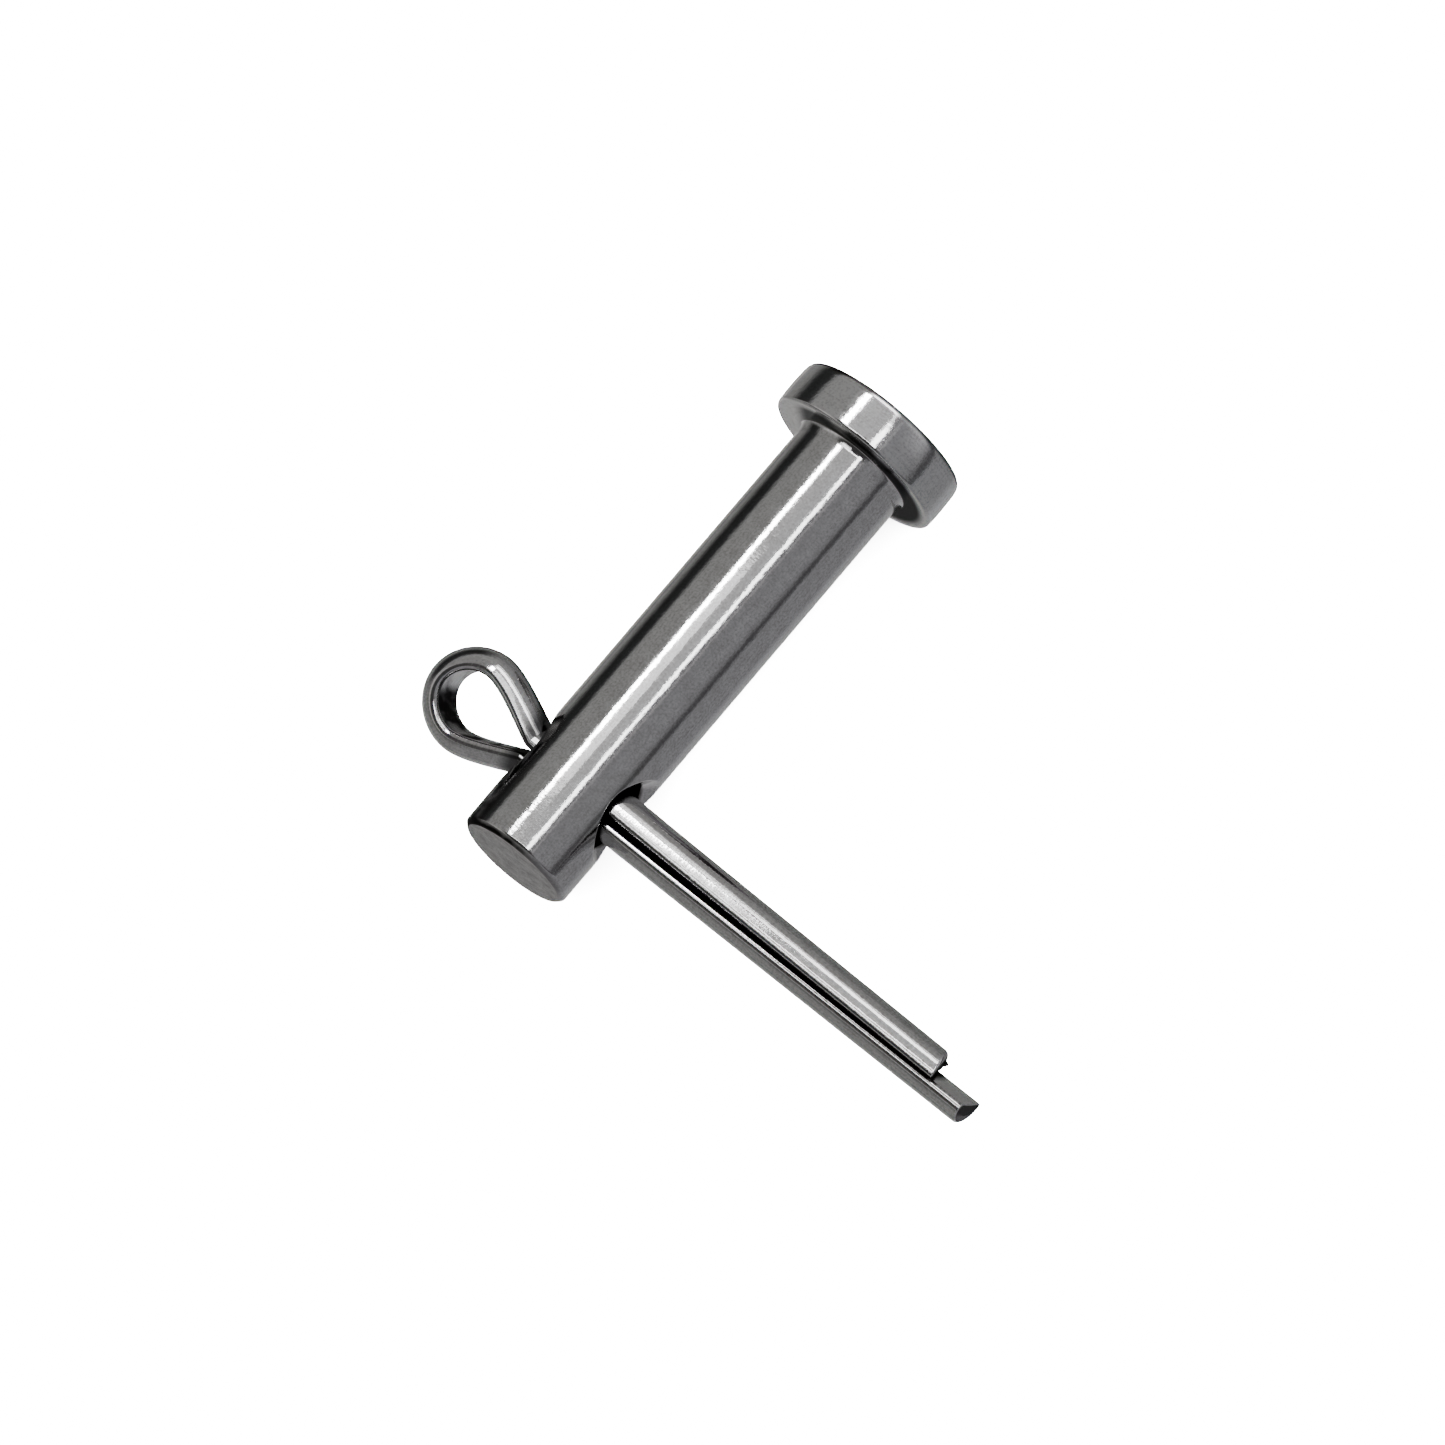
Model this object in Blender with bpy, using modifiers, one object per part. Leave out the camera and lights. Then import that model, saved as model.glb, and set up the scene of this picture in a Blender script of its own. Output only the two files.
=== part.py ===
"""Headed clevis pin locked by a split cotter pin.

Frame: the origin is the centre of the pin's flat end, at the shank's tip. +Y runs along the pin
from the tip to the head, +X runs along the cross hole from the cotter's eye to its leg tips, and
+Z is up from the surface that the part lies on. Units are metres.

The cotter lies loosely in a hole that is wider than it, so it is turned a little: COTTER_YAW
swings its tips towards the pin's tip, and COTTER_SPIN rolls it about its own length.
"""
from math import acos, cos, pi, radians, sin

import bpy
from mathutils import Matrix

MM = 0.001
AXIS_MERGE = 1e-5                       # welds a turned shape's points on its own axis

# Clevis pin
SHANK_RADIUS = 3.15 * MM
SHANK_LENGTH = 26.75 * MM               # from the tip's flat to the head's underside
HEAD_RADIUS = 4.9 * MM
HEAD_THICKNESS = 2.5 * MM
TIP_CHAMFER = 0.25 * MM
HEAD_CHAMFER = 0.15 * MM

# Cross hole, with a countersink at each mouth
HOLE_RADIUS = 1.9 * MM
HOLE_FROM_TIP = 5.1 * MM
COUNTERSINK_RADIUS = 2.55 * MM          # 45 degree cone's radius where it leaves the shank
CUTTER_REACH = 1.0 * MM                 # how far the cutter runs past the shank

# Cotter pin, bent from half-round wire whose flat faces inwards
WIRE_RADIUS = 1.43 * MM                 # the two legs together make nearly a full round
LEG_HALF_GAP = 0.21 * MM                # from the mid plane to each flat, beside the eye
LEG_PINCH = 0.32 * MM                   # how far the long leg's tip leans to the short one
LONG_LEG = 26.3 * MM                    # leg tips, measured from the pin's axis
SHORT_LEG = 23.8 * MM
NECK = 3.0 * MM                         # where the legs part into the eye
EYE_CENTRE = 6.8 * MM
EYE_HALF_WIDTH = 1.62 * MM              # inside the eye
EYE_DEPTH = 1.72 * MM                   # from the eye's centre to the inside of its back
COTTER_YAW = radians(-3.3)
COTTER_SPIN = radians(26.5)

# Facets
TURN_STEPS = 96
HOLE_STEPS = 64
ARC_SEGMENTS = 14
CURVE_RESOLUTION = 10
ROUND_HANDLE = 0.53                     # Bezier handles for the eye's back, of its own radii
ARM_HANDLE = 0.24                       # and for its nearly straight arms, of their length
NECK_HANDLE = 0.085                     # a short one, because the wire turns sharply there


def clear_scene():
    """Remove whatever the file holds."""
    for obj in list(bpy.data.objects):
        bpy.data.objects.remove(obj, do_unlink=True)


def make_collection(name):
    """Add a collection to the scene."""
    collection = bpy.data.collections.new(name)
    bpy.context.scene.collection.children.link(collection)
    return collection


def steel(name, colour, roughness):
    """Bare stainless steel with its own tone."""
    material = bpy.data.materials.new(name)
    material.use_nodes = True
    shader = material.node_tree.nodes["Principled BSDF"]
    shader.inputs["Base Color"].default_value = (*colour, 1.0)
    shader.inputs["Metallic"].default_value = 1.0
    shader.inputs["Roughness"].default_value = roughness
    return material


def turned(name, profile, steps, collection):
    """Turn an outline of (radius, height) points about Z, given down its outer side."""
    mesh = bpy.data.meshes.new(name)
    mesh.from_pydata([(r, 0.0, z) for r, z in profile], [(i, i + 1) for i in range(len(profile) - 1)], [])
    obj = bpy.data.objects.new(name, mesh)
    collection.objects.link(obj)
    screw = obj.modifiers.new("Turn", "SCREW")
    screw.steps = steps
    screw.render_steps = steps
    screw.use_merge_vertices = True
    screw.merge_threshold = AXIS_MERGE
    screw.use_smooth_shade = False
    return obj


def hole_cutter(collection):
    """A drill with a 45 degree countersink at both ends, lying along X."""
    end = SHANK_RADIUS + CUTTER_REACH
    end_radius = COUNTERSINK_RADIUS + CUTTER_REACH
    sink_start = end - (end_radius - HOLE_RADIUS)
    profile = [(0.0, end), (end_radius, end), (HOLE_RADIUS, sink_start),
               (HOLE_RADIUS, -sink_start), (end_radius, -end), (0.0, -end)]
    cutter = turned("hole_cutter", profile, HOLE_STEPS, collection)
    cutter.location = (0.0, HOLE_FROM_TIP, 0.0)
    cutter.rotation_euler = (0.0, pi / 2, 0.0)
    cutter.hide_render = True
    cutter.display_type = "WIRE"
    return cutter


def clevis_pin(parts, cutters):
    """Head and shank turned in one piece, lying along Y, with the cross hole near the tip."""
    top = SHANK_LENGTH + HEAD_THICKNESS
    profile = [(0.0, top), (HEAD_RADIUS - HEAD_CHAMFER, top), (HEAD_RADIUS, top - HEAD_CHAMFER),
               (HEAD_RADIUS, SHANK_LENGTH + HEAD_CHAMFER), (HEAD_RADIUS - HEAD_CHAMFER, SHANK_LENGTH),
               (SHANK_RADIUS, SHANK_LENGTH), (SHANK_RADIUS, TIP_CHAMFER),
               (SHANK_RADIUS - TIP_CHAMFER, 0.0), (0.0, 0.0)]
    pin = turned("clevis_pin", profile, TURN_STEPS, parts)
    pin.rotation_euler = (-pi / 2, 0.0, 0.0)
    cut = pin.modifiers.new("Cross hole", "BOOLEAN")
    cut.operation = "DIFFERENCE"
    cut.solver = "EXACT"
    cut.object = hole_cutter(cutters)
    pin.data.materials.append(steel("polished_pin_steel", (0.46, 0.455, 0.45), 0.24))
    return pin


def wire_section(collection):
    """Half-round outline: an arc about the legs' common centre, closed by its flat."""
    half_angle = acos(LEG_HALF_GAP / WIRE_RADIUS)
    angles = [half_angle * (2 * i / ARC_SEGMENTS - 1) for i in range(ARC_SEGMENTS + 1)]
    curve = bpy.data.curves.new("wire_section", "CURVE")
    curve.dimensions = "2D"
    outline = curve.splines.new("POLY")
    outline.points.add(ARC_SEGMENTS)
    for point, angle in zip(outline.points, angles):
        point.co = (LEG_HALF_GAP - WIRE_RADIUS * cos(angle), WIRE_RADIUS * sin(angle), 0.0, 1.0)
    outline.use_cyclic_u = True
    section = bpy.data.objects.new("wire_section", curve)
    section.hide_render = True
    section.display_type = "WIRE"
    collection.objects.link(section)
    return section


def cotter_knots():
    """Knots (x, y, handle before, handle after) of the wire's flat, long tip to short tip."""
    gap = LEG_HALF_GAP
    arm = ARM_HANDLE * (EYE_CENTRE - NECK)
    neck = NECK_HANDLE * (EYE_CENTRE - NECK)
    side = ROUND_HANDLE * EYE_DEPTH
    back = ROUND_HANDLE * EYE_HALF_WIDTH
    leg = (LONG_LEG + NECK) / 3
    lean = LEG_PINCH / 3
    return [(LONG_LEG, LEG_PINCH - gap, (leg, lean), (-leg, -lean)),
            (-NECK, -gap, (leg, lean), (-neck, 0.0)),
            (-EYE_CENTRE, -EYE_HALF_WIDTH, (arm, 0.0), (-side, 0.0)),
            (-EYE_CENTRE - EYE_DEPTH, 0.0, (0.0, -back), (0.0, back)),
            (-EYE_CENTRE, EYE_HALF_WIDTH, (-side, 0.0), (arm, 0.0)),
            (-NECK, gap, (-neck, 0.0), (leg, 0.0)),
            (SHORT_LEG, gap, (-leg, 0.0), (leg, 0.0))]


def cotter_pin(parts, cutters):
    """One wire swept along leg, eye and leg; its origin is on its own length, at the pin's axis."""
    curve = bpy.data.curves.new("cotter_pin", "CURVE")
    curve.dimensions = "2D"
    curve.fill_mode = "NONE"
    curve.resolution_u = CURVE_RESOLUTION
    curve.bevel_mode = "OBJECT"
    curve.bevel_object = wire_section(cutters)
    curve.use_fill_caps = True
    wire = curve.splines.new("BEZIER")
    knots = cotter_knots()
    wire.bezier_points.add(len(knots) - 1)
    for point, (x, y, before, after) in zip(wire.bezier_points, knots):
        point.co = (x, y, 0.0)
        point.handle_left = (x + before[0], y + before[1], 0.0)
        point.handle_right = (x + after[0], y + after[1], 0.0)
    cotter = bpy.data.objects.new("cotter_pin", curve)
    cotter.matrix_world = (Matrix.Translation((0.0, HOLE_FROM_TIP, 0.0))
                           @ Matrix.Rotation(COTTER_YAW, 4, "Z") @ Matrix.Rotation(COTTER_SPIN, 4, "X"))
    curve.materials.append(steel("bright_wire_steel", (0.48, 0.475, 0.46), 0.2))
    parts.objects.link(cotter)
    return cotter


def build():
    """Make both pieces."""
    clear_scene()
    parts = make_collection("hitch_pin_lock")
    cutters = make_collection("cutters")
    clevis_pin(parts, cutters)
    cotter_pin(parts, cutters)


build()
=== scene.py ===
"""Looks of a clevis pin locked by a split cotter pin: polished stainless steel in a light box."""

import math

import bpy
from mathutils import Matrix, Vector


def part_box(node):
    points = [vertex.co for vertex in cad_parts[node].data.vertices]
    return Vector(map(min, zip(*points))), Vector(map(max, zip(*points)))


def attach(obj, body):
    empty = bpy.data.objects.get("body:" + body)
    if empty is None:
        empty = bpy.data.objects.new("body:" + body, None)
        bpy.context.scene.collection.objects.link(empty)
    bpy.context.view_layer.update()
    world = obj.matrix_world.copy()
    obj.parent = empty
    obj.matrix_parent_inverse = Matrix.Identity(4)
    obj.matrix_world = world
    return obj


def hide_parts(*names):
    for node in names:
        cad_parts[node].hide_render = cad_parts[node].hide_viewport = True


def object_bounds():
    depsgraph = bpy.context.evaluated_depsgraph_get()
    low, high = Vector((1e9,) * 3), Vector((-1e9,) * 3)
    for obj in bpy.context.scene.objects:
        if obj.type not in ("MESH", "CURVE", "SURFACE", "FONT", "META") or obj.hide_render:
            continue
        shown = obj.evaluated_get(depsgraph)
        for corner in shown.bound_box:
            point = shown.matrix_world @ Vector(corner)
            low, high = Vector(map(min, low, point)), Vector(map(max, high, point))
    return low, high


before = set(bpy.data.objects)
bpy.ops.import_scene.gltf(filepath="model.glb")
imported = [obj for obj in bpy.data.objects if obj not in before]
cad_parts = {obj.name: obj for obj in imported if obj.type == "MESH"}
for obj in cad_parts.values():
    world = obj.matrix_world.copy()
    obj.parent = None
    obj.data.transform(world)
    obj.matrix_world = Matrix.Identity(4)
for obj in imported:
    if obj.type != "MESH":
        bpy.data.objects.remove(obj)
cad_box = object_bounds()

# Sizes are in metres. The origin is on the pin's tip face, +Y is towards the head and +Z is up.
MM = 0.001
WELD = 1e-5 * MM
_, PIN_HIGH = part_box("clevis_pin")

# Clevis pin
PIN_LENGTH = PIN_HIGH.y
HEAD_RADIUS = PIN_HIGH.z
HEAD_THICKNESS = 2.5 * MM
SHANK_LENGTH = PIN_LENGTH - HEAD_THICKNESS
SHANK_RADIUS = 3.15 * MM
TIP_CHAMFER = 0.25 * MM
TIP_SOFTNESS = 0.08 * MM
HEAD_ROUND_UNDER = 0.20 * MM
HEAD_ROUND_TOP = 0.55 * MM
HEAD_ROUND_IN = 0.17 * MM
HEAD_CROWN = math.radians(3.5)
FILLET_RISE = 0.55 * MM
FILLET_REACH = 0.20 * MM
HOLE_RADIUS = 1.9 * MM
HOLE_FROM_TIP = 5.1 * MM
COUNTERSINK_DEPTH = 0.65 * MM
COUNTERSINK_SOFTNESS = 0.05 * MM
RIM_ROUND = 0.10 * MM
HOLE_BAND = 3.3 * MM

# Cotter pin: a half-round wire, folded round an eye so that its flats face each other.
WIRE_RADIUS = 1.43 * MM
LEG_HALF_GAP = 0.21 * MM
LEG_PINCH = 0.32 * MM
LONG_LEG = 26.3 * MM
SHORT_LEG = 24.1 * MM
NECK = 3.0 * MM
EYE_CENTRE = 6.8 * MM
EYE_HALF_WIDTH = 1.62 * MM
EYE_DEPTH = 1.72 * MM
ROUND_HANDLE = 0.53
ARM_HANDLE = 0.24
NECK_HANDLE = 0.085
LEG_BEND = 0.0088
BEND_START = 3.0 * MM
BEND_SOFTNESS = 4.0 * MM
COTTER_YAW = math.radians(-3.3)
COTTER_SPIN = math.radians(26.5)
LONG_EDGE_ROUND = 0.32 * MM
LOW_EDGE_ROUND = 0.10 * MM
SHORT_EDGE_ROUND = 0.09 * MM
WIRE_MIDDLE = 0.68 * MM
END_ROUND = 0.12 * MM
LONG_END_ROUND_OUTER = 0.12 * MM
SHORT_END_ROUND_OUTER = 0.27 * MM
LONG_SLANT = 0.04 * MM
SHORT_SLANT = 0.45 * MM
SLANT_TOP = 0.95 * MM
BURR = 0.30 * MM
BURR_PLACE = (0.78 * MM, 0.34 * MM)
BURR_WIDTH = 0.22 * MM

# How finely the shapes are divided.
TURN_STEPS = 192
BAND_STEPS = 64
SHANK_STEPS = 24
FLAT_STEPS = 6
TOP_STEPS = 8
FILLET_STEPS = 14
CROWN_STEPS = 12
TOP_EDGE_STEPS = 16
RIM_STEPS = 7
CONE_STEPS = 8
BORE_STEPS = 5
PATCH_STEPS = 12
ROUND_STEPS = 56
CORNER_STEPS = 9
WIRE_FLAT_STEPS = 10
END_STEPS = 8
CAP_SIZES = (0.85, 0.7, 0.55, 0.4, 0.2)
LEG_STEPS = 60
EYE_STEPS = 28
SEARCH_STEPS = 60
MIDDLE_RING = 0.25 * SHANK_RADIUS

# Camera: where it looks from, its roll and what it is aimed at.
VIEW_AZIMUTH = math.radians(51.87)
VIEW_ELEVATION = math.radians(67.94)
VIEW_ROLL = math.radians(13.59)
VIEW_WIDTH = 71.61 * MM
VIEW_DISTANCE = 1.43
AIM = Vector((4.10, 11.71, 1.62)) * MM
SENSOR = 36.0
CLIP = (0.01, 10.0)

# Studio: a wide floor under soft light, and a small light box that only the steel sees.
FLOOR_SIZE = 8.0
FLOOR_LIGHT = 48.0
FLOOR_ALBEDO = 0.9
FLOOR_COLOUR = (0.95, 0.95, 0.95, 1.0)
FLOOR_ROUGHNESS = 0.9
SOFTNESS = math.radians(100)

# The light box's lamps, level above the object: name, middle x, middle y, height, width and length
# in mm, and how bright each looks in the steel.
STRIPS = (
    ("strip_left", -61, 75, 160, 24, 70, 30.0),
    ("strip_right", 64, 33, 161, 20, 92, 7.5),
    ("strip_right_far", 60, 110, 162, 9, 70, 2.4),
    ("strip_near", 26, 20, 163, 56, 15, 6.0),
    ("strip_near_left", -34, 10, 164, 64, 46, 1.1),
    ("streak_near", -34, 25, 163, 64, 5, 5.0),
    ("streak_nearer", -34, -1, 163, 64, 6, 4.0),
    ("strip_far", 2, 152, 165, 110, 44, 4.2),
    ("strip_far_glow", 2, 178, 166, 150, 110, 1.3),
    ("edge_right", 103, 66, 167, 13, 92, 0.15),
    ("panel", 2, 84, 168, 110, 120, 0.42),
    ("screen", -7, 20, 40, 14, 16, 1.5),
)
WARM = (1.0, 0.985, 0.965)
COOL = (1.0, 0.985, 1.025)
WARM_TO_COOL = (-0.5, 0.5)

# Steel: grain sizes, and how far each one moves the surface.
POLISHED = 0.60
WAVE_SIZE = 0.70 * MM
WAVE_HEIGHT = 0.0085 * MM
GRAIN_SIZE = 0.13 * MM
GRAIN_HEIGHT = 0.0024 * MM
LINE_SIZE = 0.10 * MM
LINE_HEIGHT = 0.0009 * MM
LINE_STRETCH = 14.0
TURNED_STRETCH = 40.0
TURNED_DEPTH = 1.3
COTTER_WAVE = 0.5
PLAIN_DETAIL, FINE_DETAIL = 2.0, 3.0
DULLEST, BRIGHTEST = 0.8, 1.2
DULL_WARMTH, BRIGHT_WARMTH = 0.012, -0.004

# Brightness and roughness: the middle value, then how much each kind of wear changes it.
PIN_LEVEL = (0.5, 0.8, 1.4, 0.6, 0.35)
PIN_ROUGHNESS = (0.085, 0.05, 0.06, 0.08)
COTTER_LEVEL = (0.55, 0.8, 1.3, 0.8)
COTTER_ROUGHNESS = (0.075, 0.04, 0.04, 0.08)


def soft_edge(place, low, high):
    """A soft edge, which begins and ends these many millimetres past a place."""
    return place + low * MM, place + high * MM


# Painted shade and darkened patches on the clevis pin: the soft edges that bound each patch, and
# how much it covers.
BLACK = (0.0, 0.0, 0.0, 1.0)
# The most black that painted shade and darkened patches may add together.
MOST_SHADE_AND_DARKENING = 0.97
HEAD_START = soft_edge(SHANK_LENGTH, -0.3, -0.1)
TIP_END = soft_edge(0.0, 0.05, 0.3)
SEAT_START = soft_edge(SHANK_LENGTH, -0.05, -0.01)
SEAT_END = soft_edge(SHANK_LENGTH, 0.02, 0.12)
SEAT_LEFT = soft_edge(0.0, -3.7, -2.6)
SEAT_REACH = soft_edge(0.0, 4.1, 4.7)
SEAT_RIGHT = soft_edge(0.0, -1.0, 3.0)
# How dark the painted shade under the head is, and how much more it is on the right.
SEAT_SHADE, SEAT_RIGHT_SHADE = 0.82, 0.1
BORE_EDGE = soft_edge(HOLE_RADIUS, 0.0, 0.12)
# How dark the painted shade in the bore is, and how much it is mottled.
BORE_SHADE, BORE_MOTTLE = 0.85, 0.8
TIP_EDGE = soft_edge(0.0, 2.82, 2.90)
TIP_EDGE_RIGHT = soft_edge(0.0, -0.5, 2.4)
TIP_EDGE_LOW = soft_edge(0.0, -0.6, 0.8)
# How dark the tip's upper left edge is made.
TIP_EDGE_DARKENING = 0.7
FLANK_EDGE = soft_edge(0.0, -2.15, -1.7)
FLANK_START = soft_edge(0.0, 0.0, 0.3)
FLANK_END = soft_edge(0.0, 5.0, 8.0)
FLANK_LOW = soft_edge(0.0, 0.2, 0.8)
# How dark the painted shade on the shank's flank by the eye is.
FLANK_SHADE = 0.75
RIM_START = soft_edge(PIN_LENGTH, -0.26, -0.14)
RIM_EDGE = soft_edge(HEAD_RADIUS, -0.30, -0.20)
# How dark the head's top edge is made.
RIM_DARKENING = 0.7
# How dark the tip face is made, and how much it is mottled.
FACE_DARKENING, FACE_MOTTLE = 0.42, 0.6

# Painted shade and darkened patches on the cotter pin, in the same way.
BLOTCH_SIZES = (0.7 * MM, 0.9 * MM, 2.0 * MM)
BLOTCH_MIDDLE, BLOTCH_DEPTH, BLOTCH_EDGE = 0.2, 2.6, (0.0, 0.9)
NO_CHANGE = 10.0
WIRE_FLAT_EDGE = soft_edge(0.0, 1.95, 2.15)
EYE_END = soft_edge(0.0, -4.0, -2.4)
# Where the painted shade between the legs stops, by the short leg's end.
FACING_END = soft_edge(SHORT_LEG, -0.3, 0.3)
# How dark the eye's inner flat is made where blotched.
EYE_DARKENING = 0.45
END_EDGE = soft_edge(0.0, 0.10, 0.16)
# How dark the painted shade on the sheared ends is.
SHEARED_END_SHADE = 0.92
LONG_END_SHADE = 0.8
LONG_END_SIDE = soft_edge(0.0, 1.1, 1.6)
# Where the painted shade on the eye's sides lies, by place and by the way the surface faces.
EYE_FLANK_END = soft_edge(0.0, -4.0, -3.0)
EYE_FLANK_SIDE, EYE_FLANK_TOP, EYE_FLANK_LOW = (-0.35, 0.05), (0.30, 0.66), (0.0, 0.2)
NECK_START = soft_edge(0.0, -4.2, -3.2)
NECK_END = soft_edge(0.0, -2.6, -2.0)
# How dark the painted shade where the wire goes into the cross hole is.
NECK_SHADE = 0.8

# The light box's walls. An edge is where a patch begins and ends, as a share of the direction along
# one axis, and a number beside it is how bright that patch is or how much light a gap takes away.
SIDE_EDGE, FRONT_EDGE, BACK_EDGE = (0.3, 0.7), (0.25, 0.7), (0.3, 0.8)
HORIZON = (0.0, 0.1)
CEILING, LEFT_CEILING = 0.27, 0.04
RIGHT_CEILING, RIGHT_CEILING_TOP = 0.06, (0.15, 0.6)
BACK_CEILING, BACK_CEILING_LOW = 0.08, (0.1, 0.5)
OPENING, OPENING_LOW = 0.80, (0.3, 0.5)
OPENING_FRONT, OPENING_SIDE = (-0.02, 0.12), (0.38, 0.62)
CORNER, CORNER_EDGE, CORNER_LOW = 0.3, (0.16, 0.40), (0.1, 0.4)
GROUND, BACK_GROUND = 0.26, 0.06
STRAIGHT_DOWN, STRAIGHT_DOWN_EDGE = 0.2, (0.7, 1.0)
LEFT_GROUND, LEFT_GROUND_EDGE = 0.6, (0.55, 0.95)
LEFT_GAP, LEFT_GAP_FRONT = 0.90, (-0.45, -0.1)
LEFT_GAP_TOP, LEFT_GAP_LOW = (0.16, 0.35), (0.08, 0.46)
FRONT_GAP, FRONT_GAP_LEFT = 0.35, (0.05, 0.2)
FRONT_GAP_TOP, FRONT_GAP_LOW = (0.20, 0.50), (-0.30, -0.05)
RIGHT_GAP, RIGHT_GAP_LOW, RIGHT_GAP_TOP = 0.62, (-0.08, 0.02), (0.06, 0.22)


class Skin:
    """Gathers welded vertices with their normals, and faces turned to agree with those normals."""

    def __init__(self):
        self.points = []
        self.normals = []
        self.coordinates = []
        self.faces = []
        self.found = {}

    def vertex(self, point, normal, coordinate=(0.0, 0.0)):
        key = tuple(round(c / WELD) for c in point)
        if key not in self.found:
            self.found[key] = len(self.points)
            self.points.append(Vector(point))
            self.normals.append(Vector(normal))
            self.coordinates.append(coordinate)
        return self.found[key]

    def face(self, corners):
        ring = [c for i, c in enumerate(corners) if c != corners[i - 1]]
        if len(ring) < 3:
            return
        a, b, c = (self.points[i] for i in ring[:3])
        across = (b - a).cross(c - a)
        outward = sum((self.normals[i] for i in ring), Vector())
        if len(ring) == 4:
            across += (c - a).cross(self.points[ring[3]] - a)
        if across.dot(outward) < 0:
            ring.reverse()
        self.faces.append(ring)

    def strip(self, row, next_row):
        """Quads between two rows with the same number of vertices."""
        for i in range(len(row) - 1):
            self.face([row[i], row[i + 1], next_row[i + 1], next_row[i]])

    def strips(self, rows):
        for row, next_row in zip(rows, rows[1:]):
            self.strip(row, next_row)

    def fan(self, centre, row):
        for i in range(len(row) - 1):
            self.face([centre, row[i], row[i + 1]])

    def make(self, name, coordinates_name=None):
        mesh = bpy.data.meshes.new(name)
        mesh.from_pydata([p[:] for p in self.points], [], self.faces)
        mesh.shade_smooth()
        if coordinates_name:
            layer = mesh.uv_layers.new(name=coordinates_name)
            for loop in mesh.loops:
                layer.data[loop.index].uv = self.coordinates[loop.vertex_index]
        mesh.normals_split_custom_set_from_vertices([n.normalized()[:] for n in self.normals])
        mesh.update()
        piece = bpy.data.objects.new(name, mesh)
        bpy.context.scene.collection.objects.link(piece)
        return piece


def steps(start, end, count):
    """Evenly spaced numbers from start to end, both included."""
    return [start + (end - start) * i / count for i in range(count + 1)]


def smooth_step(value, low, high):
    """0 up to low and 1 from high on, with a smooth step between."""
    t = min(max((value - low) / (high - low), 0.0), 1.0)
    return t * t * (3 - 2 * t)


# ---------------------------------------------------------------- clevis pin


def turn_corner(before, corner, after, start, end, count):
    """Profile points round a softened corner, with normals that turn between two angles."""
    points = []
    for t in steps(0.0, 1.0, count):
        a, b, c = (1 - t) ** 2, 2 * t * (1 - t), t * t
        angle = math.radians(start + (end - start) * t)
        r = a * before[0] + b * corner[0] + c * after[0]
        y = a * before[1] + b * corner[1] + c * after[1]
        points.append((r, y, math.cos(angle), math.sin(angle)))
    return points


def tip_profile():
    """(radius, y, normal radial, normal y) from the tip face up to the cross hole's band."""
    soft, slant = TIP_SOFTNESS, TIP_SOFTNESS * math.sqrt(0.5)
    inner = (SHANK_RADIUS - TIP_CHAMFER, 0.0)
    outer = (SHANK_RADIUS, TIP_CHAMFER)
    flat = [(r, 0.0, 0.0, -1.0) for r in steps(MIDDLE_RING, inner[0] - soft, FLAT_STEPS)]
    after_inner = (inner[0] + slant, inner[1] + slant)
    before_outer = (outer[0] - slant, outer[1] - slant)
    edge = turn_corner((inner[0] - soft, 0.0), inner, after_inner, -90, -45, FLAT_STEPS)
    edge += turn_corner(before_outer, outer, (outer[0], outer[1] + soft), -45, 0, FLAT_STEPS)
    side_low, side_high = outer[1] + soft, HOLE_FROM_TIP - HOLE_BAND
    side = [(SHANK_RADIUS, y, 1.0, 0.0) for y in steps(side_low, side_high, FLAT_STEPS // 2)]
    return flat + edge + side


def head_fillet():
    """The hollow sweep from the shank to the head: longer along the shank than across it."""
    neck = SHANK_LENGTH - FILLET_RISE
    points = []
    for angle in steps(math.pi, math.pi / 2, FILLET_STEPS):
        c, s = math.cos(angle), math.sin(angle)
        normal = Vector((-c / FILLET_REACH, -s / FILLET_RISE)).normalized()
        place = (SHANK_RADIUS + FILLET_REACH + FILLET_REACH * c, neck + FILLET_RISE * s)
        points.append((*place, *normal))
    return points


def head_side(low, high):
    """The head's slightly crowned side."""
    middle, half = (low + high) / 2, (high - low) / 2
    radius = half / math.sin(HEAD_CROWN)
    points = []
    for y in steps(low, high, CROWN_STEPS):
        tilt = math.asin((y - middle) / radius)
        c, s = math.cos(tilt), math.sin(tilt)
        points.append((HEAD_RADIUS - radius * (1 - c), y, c, s))
    return points


def head_edge(inner, high):
    """The head's worn top edge: a quarter ellipse, longer down the side than across the top."""
    points = []
    rise, run = math.sin(HEAD_CROWN) * HEAD_ROUND_TOP, math.cos(HEAD_CROWN) * HEAD_ROUND_IN
    for angle in steps(math.atan2(rise, run), math.pi / 2, TOP_EDGE_STEPS):
        c, s = math.cos(angle), math.sin(angle)
        normal = Vector((c / HEAD_ROUND_IN, s / HEAD_ROUND_TOP)).normalized()
        place = (inner + HEAD_ROUND_IN * c, high + HEAD_ROUND_TOP * s)
        points.append((*place, *normal))
    return points


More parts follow.
